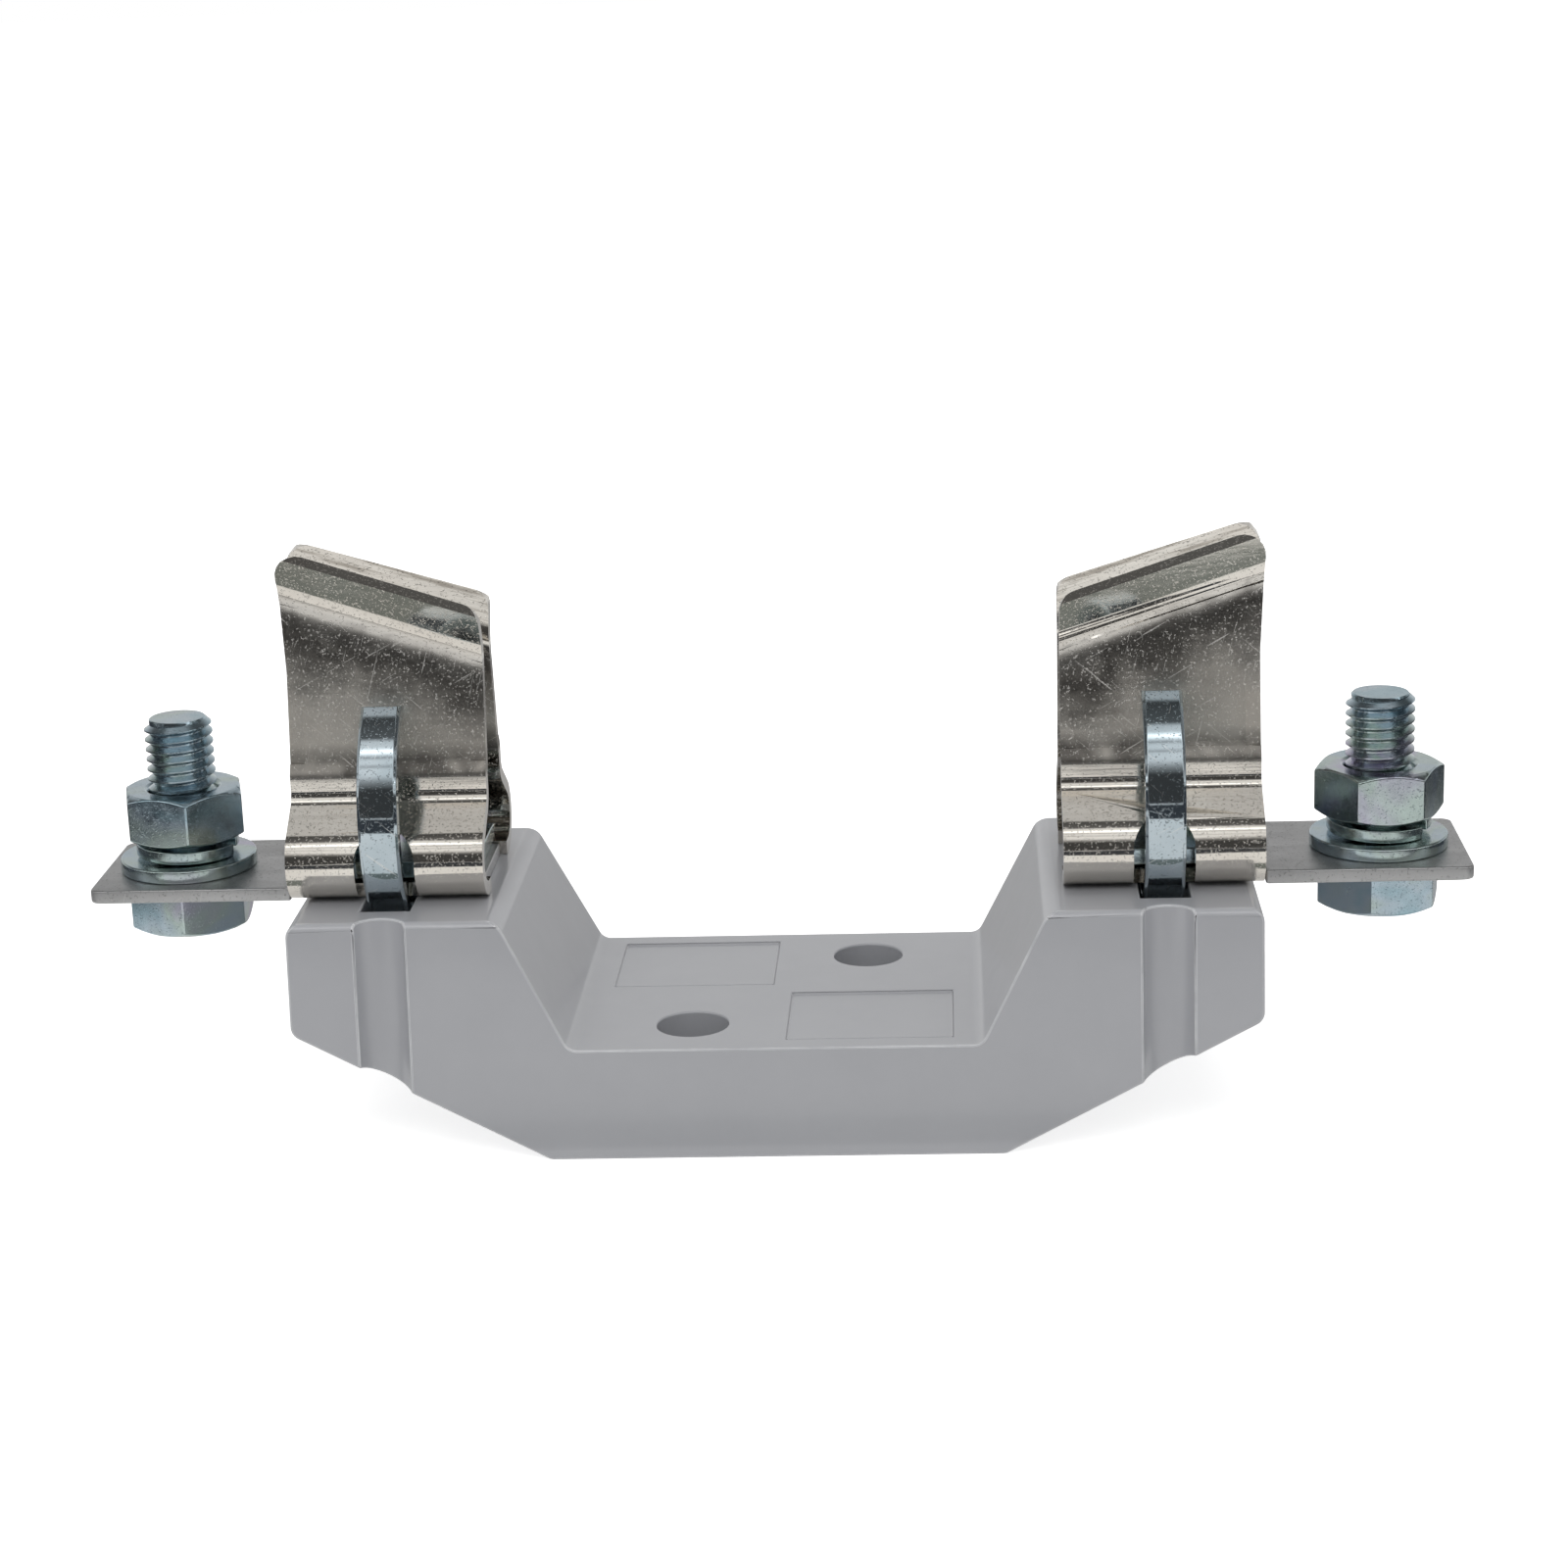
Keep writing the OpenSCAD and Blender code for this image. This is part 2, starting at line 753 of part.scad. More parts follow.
module terminal_nut(side) {
    color(bolt_zinc)
        at_terminal(side)
            translate([0, 0, spring_top])
                rotate([0, 0, side > 0 ? 5 : 44])
                    difference() {
                        chamfered_hexagon(bolt_flats, nut_height, true, true);
                        translate([0, 0, -through])
                            cylinder(d = bolt_d + 2 * shank_gap, h = nut_height + 2 * through);
                        for (z = [0, nut_height]) {
                            translate([0, 0, z - nut_sink])
                                cylinder(
                                    d1 = bolt_d + (z > 0 ? 0 : 4 * nut_sink),
                                    d2 = bolt_d + (z > 0 ? 4 * nut_sink : 0),
                                    h = 2 * nut_sink
                                );
                        }
                    }
}

base_body();
strap(-1);  // left_strap
strap(1);  // right_strap
clamp_plate(-1);  // left_clamp_plate
clamp_plate(1);  // right_clamp_plate
jaw(-1, -1);  // left_front_jaw
jaw(-1, 1);  // left_rear_jaw
jaw(1, -1);  // right_front_jaw
jaw(1, 1);  // right_rear_jaw
spring_ring(-1);  // left_spring_ring
spring_ring(1);  // right_spring_ring
fixing_screws(-1);  // left_fixing_screws
fixing_screws(1);  // right_fixing_screws
fixing_washers(-1);  // left_fixing_washers
fixing_washers(1);  // right_fixing_washers
fixing_nuts(-1);  // left_fixing_nuts
fixing_nuts(1);  // right_fixing_nuts
terminal_bolt(-1);  // left_terminal_bolt
terminal_bolt(1);  // right_terminal_bolt
flat_washer(-1);  // left_flat_washer
flat_washer(1);  // right_flat_washer
spring_washer(-1);  // left_spring_washer
spring_washer(1);  // right_spring_washer
terminal_nut(-1);  // left_terminal_nut
terminal_nut(1);  // right_terminal_nut
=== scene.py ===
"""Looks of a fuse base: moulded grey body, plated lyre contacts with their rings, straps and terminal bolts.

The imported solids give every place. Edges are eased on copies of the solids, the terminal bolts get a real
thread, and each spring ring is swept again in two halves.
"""

import json
import math

import bmesh
import bpy
from mathutils import Matrix, Vector


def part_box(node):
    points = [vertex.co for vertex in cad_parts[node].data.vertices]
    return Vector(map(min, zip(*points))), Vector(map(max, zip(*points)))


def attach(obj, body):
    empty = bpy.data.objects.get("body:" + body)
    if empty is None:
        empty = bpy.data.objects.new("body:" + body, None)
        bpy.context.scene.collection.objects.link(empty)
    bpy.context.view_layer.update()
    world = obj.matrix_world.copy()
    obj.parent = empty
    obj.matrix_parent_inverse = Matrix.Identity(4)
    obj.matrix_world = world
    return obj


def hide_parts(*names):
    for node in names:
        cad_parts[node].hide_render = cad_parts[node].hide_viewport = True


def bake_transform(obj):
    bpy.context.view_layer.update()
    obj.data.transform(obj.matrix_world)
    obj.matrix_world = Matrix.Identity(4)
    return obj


MM = 0.001
SIDES = ("left", "right")
FACES = ("front", "rear")

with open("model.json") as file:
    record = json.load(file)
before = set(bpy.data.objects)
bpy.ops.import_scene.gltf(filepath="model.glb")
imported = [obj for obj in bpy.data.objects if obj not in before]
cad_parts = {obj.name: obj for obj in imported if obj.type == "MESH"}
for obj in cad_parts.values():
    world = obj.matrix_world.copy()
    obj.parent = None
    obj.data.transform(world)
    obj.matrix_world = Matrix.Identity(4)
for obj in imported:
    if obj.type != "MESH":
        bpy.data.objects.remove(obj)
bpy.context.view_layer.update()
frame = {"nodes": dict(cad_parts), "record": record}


# Camera

CAMERA_PLACE = Vector((27.33, -465.54, 179.88)) * MM
CAMERA_PITCH = math.radians(15.78)
CAMERA_ROLL = math.radians(-1.99)
CAMERA_YAW = math.radians(-3.21)
FOCAL_PIXELS = 3345.6
PHOTO_PIXELS = 1600
SENSOR_MM = 36.0


def add_camera():
    """The camera that was fitted to the photograph's corners and holes."""
    turn = (
        Matrix.Rotation(CAMERA_ROLL, 3, "Y")
        @ Matrix.Rotation(CAMERA_PITCH, 3, "X")
        @ Matrix.Rotation(CAMERA_YAW, 3, "Z")
    )
    right, forward, up = (turn.transposed() @ Vector(v) for v in ((1, 0, 0), (0, 1, 0), (0, 0, 1)))
    data = bpy.data.cameras.new("camera")
    data.sensor_width = SENSOR_MM
    data.sensor_fit = "HORIZONTAL"
    data.lens = FOCAL_PIXELS * SENSOR_MM / PHOTO_PIXELS
    camera = bpy.data.objects.new("camera", data)
    axes = Matrix((right, up, -forward)).transposed().to_4x4()
    camera.matrix_world = Matrix.Translation(CAMERA_PLACE) @ axes
    bpy.context.collection.objects.link(camera)
    bpy.context.scene.camera = camera


# Light and floor

SOFTBOXES = {
    # name: (place in metres, size in metres, watts, colour)
    "key": ((-0.10, -0.62, 0.78), (0.9, 0.42), 3.3, (1.0, 0.99, 0.97)),
    "fill": ((0.75, -0.15, 0.50), (0.4, 0.5), 0.15, (0.96, 0.98, 1.0)),
    "top": ((0.0, 0.15, 0.95), (0.8, 0.6), 1.4, (1.0, 0.99, 0.97)),
    "wing": ((-0.75, -0.15, 0.45), (0.4, 0.5), 0.05, (0.98, 0.99, 1.0)),
}
TARGET = Vector((0, 0, 0.04))


def add_softbox(name, place, size, watts, colour):
    data = bpy.data.lights.new(name, "AREA")
    data.shape = "RECTANGLE"
    data.size, data.size_y = size
    data.energy = watts
    data.color = colour
    lamp = bpy.data.objects.new(name, data)
    lamp.location = place
    lamp.visible_glossy = False
    lamp.rotation_euler = (TARGET - Vector(place)).to_track_quat("-Z", "Y").to_euler()
    bpy.context.collection.objects.link(lamp)


class Tree:
    """A node tree with short calls for adding and linking nodes."""

    def __init__(self, tree):
        self.tree = tree
        tree.nodes.clear()

    def add(self, kind, sockets=None, **settings):
        """A node with its settings and input sockets, given by name or number, set or linked."""
        node = self.tree.nodes.new(kind)
        for key, value in settings.items():
            setattr(node, key, value)
        for key, value in (sockets or {}).items():
            if isinstance(value, bpy.types.NodeSocket):
                self.tree.links.new(value, node.inputs[key])
            else:
                node.inputs[key].default_value = value
        return node

    def math(self, operation, a, b=0.0, clamp=False):
        return self.add("ShaderNodeMath", {0: a, 1: b}, operation=operation, use_clamp=clamp).outputs[0]

    def noise(self, vector, scale, detail=3.0, rough=0.5, distortion=0.0):
        sockets = {"Vector": vector, "Scale": scale, "Detail": detail}
        sockets.update({"Roughness": rough, "Distortion": distortion})
        return self.add("ShaderNodeTexNoise", sockets).outputs["Fac"]

    def ramp(self, factor, stops):
        """Colours between stops of (place, colour)."""
        node = self.add("ShaderNodeValToRGB", {"Fac": factor})
        elements = node.color_ramp.elements
        while len(elements) < len(stops):
            elements.new(0.5)
        for element, (place, colour) in zip(elements, stops):
            element.position = place
            element.color = (*colour, 1.0)
        return node.outputs["Color"]

    def spread(self, value, low, high, to_low=0.0, to_high=1.0):
        sockets = {"Value": value, "From Min": low, "From Max": high, "To Min": to_low, "To Max": to_high}
        return self.add("ShaderNodeMapRange", sockets).outputs["Result"]

    def mix(self, factor, a, b, blend="MIX"):
        node = self.add("ShaderNodeMix", data_type="RGBA", blend_type=blend)
        for socket, value in ((node.inputs[0], factor), (node.inputs[6], a), (node.inputs[7], b)):
            if isinstance(value, bpy.types.NodeSocket):
                self.tree.links.new(value, socket)
            elif isinstance(value, (int, float)):
                socket.default_value = value
            else:
                socket.default_value = (*value, 1.0)
        return node.outputs[2]

    def place(self, scale=(1, 1, 1)):
        """Object coordinates in metres, stretched."""
        coords = self.add("ShaderNodeTexCoord").outputs["Object"]
        return self.add("ShaderNodeMapping", {"Vector": coords, "Scale": scale}).outputs["Vector"]

    def bump(self, height, distance, strength=1.0, below=None):
        sockets = {"Height": height, "Distance": distance, "Strength": strength}
        if below is not None:
            sockets["Normal"] = below
        return self.add("ShaderNodeBump", sockets).outputs["Normal"]


def new_material(name):
    material = bpy.data.materials.new(name)
    material.use_nodes = True
    return material, Tree(material.node_tree)


# What reflections see of the room, as (degrees from the front horizon over the zenith, brightness)
ROOM = [
    (-180, 0.80), (-90, 0.75), (-20, 0.10), (0, 0.06), (24, 0.06), (30, 0.35), (36, 0.95), (42, 1.0),
    (44, 0.45), (46, 1.0), (50, 1.0), (52, 0.45), (54, 1.0), (58, 1.0), (60, 0.5), (62, 0.95),
    (67, 0.85), (70, 0.14), (91, 0.07), (94.5, 0.62), (101, 0.58), (104, 0.10), (130, 0.10),
    (145, 0.35), (160, 0.62), (180, 0.80),
]
# Brightness with which the room lights the object
ROOM_LIGHT = 0.45
# A brighter strip that reflections see in the room: angle and half width in degrees, and added brightness
STRIP = (58, 4, 1.6)


def add_world():
    """A white room for the camera; reflections see bright strips over the front and a dark ceiling."""
    world = bpy.data.worlds.new("studio")
    bpy.context.scene.world = world
    world.use_nodes = True
    tree = Tree(world.node_tree)
    path = tree.add("ShaderNodeLightPath").outputs
    clear = tree.math("MAXIMUM", path["Is Camera Ray"], path["Is Transmission Ray"])
    direction = tree.add("ShaderNodeTexCoord").outputs["Generated"]
    axes = tree.add("ShaderNodeSeparateXYZ", {0: direction}).outputs
    front = tree.math("MULTIPLY", axes[1], -1.0)
    angle = tree.math("ARCTAN2", axes[2], front)
    room = tree.ramp(
        tree.spread(angle, -math.pi, math.pi),
        [((degrees + 180) / 360, (value,) * 3) for degrees, value in ROOM],
    )
    strip_angle, half_width, brightness = STRIP
    off = tree.math("ABSOLUTE", tree.math("SUBTRACT", angle, math.radians(strip_angle)))
    strip = tree.spread(off, math.radians(half_width), 0.0)
    room = tree.mix(strip, room, (brightness,) * 3, "ADD")
    lit = tree.mix(path["Is Glossy Ray"], (ROOM_LIGHT,) * 3, room)
    colour = tree.mix(clear, lit, (1, 1, 1))
    background = tree.add("ShaderNodeBackground", {"Color": colour, "Strength": 1.0})
    tree.add("ShaderNodeOutputWorld", {"Surface": background.outputs[0]})


def add_stage(name, corners, material):
    """A flat stage piece through four corners."""
    mesh = bpy.data.meshes.new(name)
    mesh.from_pydata(corners, [], [(0, 1, 2, 3)])
    mesh.materials.append(material)
    obj = bpy.data.objects.new(name, mesh)
    bpy.context.collection.objects.link(obj)
    return obj


# Glow that brings the lit floor up to white for the camera and reflections
FLOOR_LIFT = 0.75
# Share of the glow that reflections see
GLOSSY_SHARE = 0.3
# Distance in metres over which the glow grows to full white
FLOOR_NEAR = 0.12
FLOOR_FAR = 0.45
# Half the floor's side in metres
FLOOR_REACH = 4.0


def add_floor():
    """A pale floor that keeps the shadow and looks white to the camera."""
    material, tree = new_material("floor_white")
    path = tree.add("ShaderNodeLightPath").outputs
    mirrored = tree.math("MULTIPLY", path["Is Glossy Ray"], GLOSSY_SHARE)
    seen = tree.math("MAXIMUM", path["Is Camera Ray"], mirrored)
    axes = tree.add("ShaderNodeSeparateXYZ", {0: tree.place()}).outputs
    far = tree.math("MAXIMUM", tree.math("ABSOLUTE", axes[0]), tree.math("ABSOLUTE", axes[1]))
    lift = tree.math("MULTIPLY", seen, tree.spread(far, FLOOR_NEAR, FLOOR_FAR, FLOOR_LIFT, 1.0))
    cloud = tree.noise(tree.place(), 3.0)
    white = tree.ramp(cloud, [(0.3, (0.80, 0.80, 0.80)), (0.7, (0.82, 0.82, 0.82))])
    diffuse = tree.add("ShaderNodeBsdfDiffuse", {"Color": white}).outputs[0]
    glow = tree.add("ShaderNodeEmission", {"Color": (1, 1, 1, 1), "Strength": lift}).outputs[0]
    total = tree.add("ShaderNodeAddShader", {0: diffuse, 1: glow}).outputs[0]
    tree.add("ShaderNodeOutputMaterial", {"Surface": total})
    r = FLOOR_REACH
    add_stage("floor", [(-r, -r, 0), (r, -r, 0), (r, r, 0), (-r, r, 0)], material)


# Cloths on the floor that only reflections see, and a grey card of painted shadow near the object: two
# corners in metres and a colour
CLOTHS = {
    "cloth_front": ((-1.5, -1.5), (1.5, -0.205), (0.055, 0.060, 0.068)),
    # Painted shadow: a grey card where the object's shadow lies on the floor, seen only in reflections
    "floor_shadow_card": ((-0.13, -0.050), (0.13, -0.030), (0.20, 0.22, 0.21)),
    "cloth_left": ((-1.5, -0.205), (-0.19, 0.6), (0.055, 0.060, 0.068)),
    "cloth_right": ((0.19, -0.205), (1.5, 0.6), (0.055, 0.060, 0.068)),
    "cloth_back": ((-0.19, 0.06), (0.19, 1.5), (0.42, 0.42, 0.42)),
}
CLOTH_HEIGHT = 0.001


def add_cloths():
    """Flat cloths and the painted-shadow card, of an even brightness, hidden from everything but reflections.
    """
    for name, ((x0, y0), (x1, y1), colour) in CLOTHS.items():
        material, tree = new_material(name)
        glow = tree.add("ShaderNodeEmission", {"Color": (*colour, 1), "Strength": 1.0}).outputs[0]
        tree.add("ShaderNodeOutputMaterial", {"Surface": glow})
        z = CLOTH_HEIGHT
        cloth = add_stage(name, [(x0, y0, z), (x1, y0, z), (x1, y1, z), (x0, y1, z)], material)
        cloth.visible_camera = False
        cloth.visible_diffuse = False
        cloth.visible_shadow = False
        cloth.visible_transmission = False


# Materials. Noise scales are per metre, bump distances and heights in metres, colours linear.


def finish_material(tree, colour, rough, normal, metal, **fixed):
    """The shader on its output; what is the same all over is set on its own sockets."""
    sockets = {"Base Color": colour, "Roughness": rough, "Normal": normal, "Metallic": metal}
    sockets.update({key.replace("_", " "): value for key, value in fixed.items()})
    shader = tree.add("ShaderNodeBsdfPrincipled", sockets)
    tree.add("ShaderNodeOutputMaterial", {"Surface": shader.outputs[0]})


# Cosines between smoothed and true normal at which an edge's mask starts and is full
EDGE_TURN = (0.996, 0.98)


def eased_edge(tree):
    """A mask of the narrow eased edges, where the smoothed normal leaves the true one."""
    normals = tree.add("ShaderNodeNewGeometry").outputs
    sockets = {0: normals["Normal"], 1: normals["True Normal"]}
    along = tree.add("ShaderNodeVectorMath", sockets, operation="DOT_PRODUCT").outputs["Value"]
    return tree.spread(along, *EDGE_TURN)


# Box round the raised outlines on the base's floor, where edges get no painted highlight: half depth, low and
# high z
OUTLINES = (0.025, 0.0150, 0.0175)
MOULDING_STOPS = [(0.30, (0.406, 0.415, 0.442)), (0.70, (0.424, 0.433, 0.460))]
MOULDING_SPECKLE = (0.45, 0.45, 0.46)
# Colour of the painted highlight on the moulding's edges
MOULDING_EDGE_HIGHLIGHT = (0.80, 0.81, 0.83)


def moulding_material():
    """Grey moulded body with faint mottling, a fine skin and a painted highlight along its edges."""
    material, tree = new_material("grey_moulding_skin")
    where = tree.place()
    mottle = tree.noise(where, 90.0, 4.0, 0.6)
    speckle = tree.noise(where, 1400.0, 2.0, 0.6)
    colour = tree.ramp(mottle, MOULDING_STOPS)
    colour = tree.mix(tree.spread(speckle, 0.35, 0.65, 0.0, 0.06), colour, MOULDING_SPECKLE)
    axes = tree.add("ShaderNodeSeparateXYZ", {0: where}).outputs
    half_depth, low, high = OUTLINES
    inside = tree.math("LESS_THAN", tree.math("ABSOLUTE", axes[1]), half_depth)
    over = tree.math("GREATER_THAN", axes[2], low)
    under = tree.math("LESS_THAN", axes[2], high)
    outlined = tree.math("MULTIPLY", inside, tree.math("MULTIPLY", over, under))
    # Painted highlight: the eased edges are painted pale in patches, standing in for glints, except on the
    # raised outlines.
    edge = tree.math("SUBTRACT", eased_edge(tree), outlined, clamp=True)
    patchy = tree.spread(tree.noise(where, 150.0, 3.0, 0.6), 0.35, 0.65, 0.35, 0.9)
    colour = tree.mix(tree.math("MULTIPLY", edge, patchy), colour, MOULDING_EDGE_HIGHLIGHT)
    rough = tree.spread(tree.noise(where, 260.0, 4.0, 0.6), 0.3, 0.7, 0.30, 0.34)
    skin = tree.bump(tree.noise(where, 900.0, 3.0, 0.5), 0.00001, 0.15)
    skin = tree.bump(tree.noise(where, 60.0, 2.0, 0.5), 0.0003, 0.06, skin)
    gloss = {"Specular_IOR_Level": 0.8, "Coat_Weight": 0.5, "Coat_Roughness": 0.1}
    finish_material(tree, colour, rough, skin, 0.0, **gloss)
    return material


# Turns of the three sets of scratches about Y, in radians, and how far each set is drawn out
SCRATCH_TURNS = (0.5, -0.7, 1.3)
SCRATCH_SCALE = (90, 500, 3200)


def specks_and_scratches(tree, where):
    """Masks from 0 to 1 of small pits and of fine crossing scratches."""
    pits = tree.spread(tree.noise(where, 2700.0, 2.0, 0.6), 0.60, 0.68)
    lines = []
    for turn in SCRATCH_TURNS:
        turned = tree.add("ShaderNodeMapping", {"Vector": where, "Rotation": (0, turn, 0)}).outputs[0]
        drawn = tree.add("ShaderNodeMapping", {"Vector": turned, "Scale": SCRATCH_SCALE}).outputs[0]
        lines.append(tree.spread(tree.noise(drawn, 1.0, 2.0, 0.5), 0.69, 0.72))
    scratches = tree.math("MAXIMUM", tree.math("MAXIMUM", lines[0], lines[1]), lines[2])
    return pits, scratches


# Share of the first stop's colour that is left in a pit, and the colour of a scratch
PIT_SHADE = 0.55
SCRATCH_COLOUR = (0.80, 0.80, 0.78)


def plated_material(name, stops, rough, grain, scale=(1, 1, 1), pits=0.5):
    """Plated metal: a clouded colour, fine rolling marks along the grain, small pits and pale scratches."""
    material, tree = new_material(name)
    where = tree.place(scale)
    plain = tree.place()
    colour = tree.ramp(tree.noise(plain, 70.0, 3.0, 0.55, 0.6), stops)
    marks = tree.noise(where, grain, 4.0, 0.65)
    pitted, scratched = specks_and_scratches(tree, plain)
    dark = tuple(PIT_SHADE * c for c in stops[0][1])
    colour = tree.mix(tree.math("MULTIPLY", pitted, pits), colour, dark)
    colour = tree.mix(tree.math("MULTIPLY", scratched, pits), colour, SCRATCH_COLOUR)
    low, high = rough
    wear = tree.math("MULTIPLY", tree.math("MAXIMUM", pitted, scratched), 0.4 * pits)
    gloss = tree.math("ADD", tree.spread(marks, 0.25, 0.75, low, high), wear)
    surface = tree.bump(marks, 0.00001, 0.5)
    surface = tree.bump(pitted, 0.00002, 0.4, surface)
    surface = tree.bump(tree.noise(plain, 55.0, 1.0, 0.4), 0.0004, 0.10, surface)
    finish_material(tree, colour, gloss, surface, 1.0)
    return material


# Throat line of a contact: its height at the contact's middle, that middle's x, and the line's slope
THROAT = (0.0745, 0.0562, math.tan(math.radians(17.5)))
# The soft bend below the throat: its height in metres and its curvature per metre
BEND = (0.0038, 135.0)
# Heights between which the plate's dull finish gives way to the band's, and those of its darker foot
PLATE_END = (0.0522, 0.0534)
DARK_FOOT_LOW = (0.0522, 0.0530)
DARK_FOOT_HIGH = (0.0575, 0.0550)
PLATING_STOPS = [(0.3, (0.68, 0.64, 0.58)), (0.7, (0.78, 0.75, 0.69))]
# Painted shade in the soft bend below the throat
BEND_SHADE_COLOUR = (0.42, 0.41, 0.39)
# Colour of the darker band with a ragged edge below the throat, and of the plate's darker foot
DARK_BAND_COLOUR = (0.13, 0.12, 0.11)
LIP_STREAK_COLOUR = (0.28, 0.25, 0.21)
SPECK_COLOUR = (0.92, 0.90, 0.86)


def lip_streaks(tree, axes, aside, below):
    """A mask of dark streaks along the inner faces of the lips."""
    drawn = {0: tree.math("MULTIPLY", aside, 70.0), 2: tree.math("MULTIPLY", below, 1300.0)}
    grain = tree.noise(tree.add("ShaderNodeCombineXYZ", drawn).outputs[0], 1.0, 4.0, 0.7)
    normal = tree.add("ShaderNodeNewGeometry").outputs["Normal"]
    facing = tree.add("ShaderNodeSeparateXYZ", {0: normal}).outputs
    inside = tree.spread(tree.math("MULTIPLY", facing[1], axes[1]), 0.0, -0.001)
    lip = tree.math("MULTIPLY", inside, tree.spread(below, -0.0005, -0.0015))
    return tree.math("MULTIPLY", lip, tree.spread(grain, 0.48, 0.62, 0.0, 0.75))


def contact_material():
    """Plated contact sheet: bright and streaked at roll and band, with painted shade in the bend under the
    throat, dull and darker below it.
    """
    material, tree = new_material("contact_plating")
    plain = tree.place()
    axes = tree.add("ShaderNodeSeparateXYZ", {0: plain}).outputs
    cloud = tree.noise(plain, 110.0, 3.0, 0.6, 0.4)
    height, middle, slope = THROAT
    aside = tree.math("SUBTRACT", tree.math("ABSOLUTE", axes[0]), middle)
    line = tree.math("ADD", tree.math("MULTIPLY", aside, slope), height)
    below = tree.math("SUBTRACT", line, axes[2])

    # Zones: the dull plate, a darker band with a ragged edge, the plate's darker foot, and painted shade in
    # the soft bend
    plate = tree.math("MULTIPLY", tree.spread(below, 0.001, 0.003), tree.spread(axes[2], *PLATE_END))
    ragged = tree.math("ADD", below, tree.spread(cloud, 0.2, 0.8, -0.0045, 0.0045))
    upper, lower = tree.spread(ragged, 0.0018, 0.0048), tree.spread(ragged, 0.013, 0.006)
    dark_band = tree.math("MULTIPLY", tree.math("MULTIPLY", upper, lower), 0.75)
    foot = tree.math("MULTIPLY", tree.spread(axes[2], *DARK_FOOT_LOW), tree.spread(axes[2], *DARK_FOOT_HIGH))
    foot = tree.math("MULTIPLY", foot, tree.spread(cloud, 0.35, 0.6, 0.25, 0.85))
    # Painted shade: the soft bend just below the throat is painted darker.
    upper, lower = tree.spread(below, 0.0, 0.001), tree.spread(below, 0.0055, 0.0035, 0.0, 0.6)
    painted_bend_shade = tree.math("MULTIPLY", upper, lower)
    pitted, scratched = specks_and_scratches(tree, plain)
    specks = tree.math("MULTIPLY", tree.math("MAXIMUM", pitted, scratched), plate)

    colour = tree.ramp(tree.noise(plain, 70.0, 3.0, 0.55, 0.6), PLATING_STOPS)
    colour = tree.mix(painted_bend_shade, colour, BEND_SHADE_COLOUR)
    colour = tree.mix(tree.math("MAXIMUM", dark_band, foot), colour, DARK_BAND_COLOUR)
    colour = tree.mix(lip_streaks(tree, axes, aside, below), colour, LIP_STREAK_COLOUR)
    colour = tree.mix(tree.math("MULTIPLY", specks, 0.8), colour, SPECK_COLOUR)

    # Roughness: bright outside the plate, and duller on it from the throat down
    streaks = tree.noise(tree.place((0.03, 1, 1)), 1500.0, 3.0, 0.6)
    shiny = tree.spread(streaks, 0.3, 0.7, 0.05, 0.14)
    uneven = tree.spread(cloud, 0.3, 0.7, -0.05, 0.05)
    dull = tree.math("ADD", uneven, tree.spread(below, 0.004, 0.018, 0.30, 0.56))
    rough = tree.math("ADD", shiny, tree.math("MULTIPLY", plate, tree.math("SUBTRACT", dull, 0.08)))
    rough = tree.math("ADD", rough, tree.math("MULTIPLY", specks, 0.2))

    surface = tree.bump(streaks, 0.00001, 0.5)
    surface = tree.bump(pitted, 0.00003, 0.6, surface)
    surface = tree.bump(tree.noise(plain, 85.0, 1.0, 0.4), 0.0004, 0.18, surface)
    bend_height, curvature = BEND
    up = tree.math("SUBTRACT", bend_height, below, clamp=True)
    bend = tree.math("MINIMUM", up, bend_height)
    fall = tree.math("MULTIPLY", tree.math("MULTIPLY", bend, bend), -0.5 * curvature)
    surface = tree.bump(fall, 1.0, 1.0, surface)
    finish_material(tree, colour, rough, surface, 1.0)
    return material


STRAP_STOPS = [(0.3, (0.52, 0.52, 0.52)), (0.7, (0.60, 0.60, 0.60))]
RING_STOPS = [(0.3, (0.42, 0.50, 0.54)), (0.7, (0.54, 0.61, 0.65))]
# Blue passivation that shifts to green and violet
ZINC_STOPS = [
    (0.34, (0.34, 0.48, 0.54)), (0.46, (0.44, 0.53, 0.59)),
    (0.56, (0.46, 0.55, 0.52)), (0.68, (0.48, 0.46, 0.58)),
]
MATERIALS = {
    "grey_moulding": moulding_material(),
    "strap_metal": plated_material("strap_plating", STRAP_STOPS, (0.34, 0.48), 420.0, (0.15, 1, 1)),
    "contact_metal": contact_material(),
    "ring_steel": plated_material("ring_plating", RING_STOPS, (0.03, 0.09), 700.0, (1, 0.3, 0.3)),
    "zinc_steel": plated_material("blue_zinc_plating", ZINC_STOPS, (0.12, 0.26), 500.0, pits=0.12),
}
SLOT_OF = {part["node"]: part["material_slot"] for part in frame["record"]["subparts"]}


# Pieces


# Points closer than this in metres are one
SAME_POINT = 2e-6
# Faces that turn less than this in radians are one flat face
FLAT = math.radians(0.3)


def merged(node):
    """The mesh of a CAD node as one closed skin with flat faces joined."""
    mesh = bmesh.new()
    mesh.from_mesh(frame["nodes"][node].data)
    bmesh.ops.remove_doubles(mesh, verts=mesh.verts, dist=SAME_POINT)
    whole = {"verts": mesh.verts, "edges": mesh.edges}
    bmesh.ops.dissolve_limit(mesh, angle_limit=FLAT, use_dissolve_boundaries=False, **whole)
    return mesh


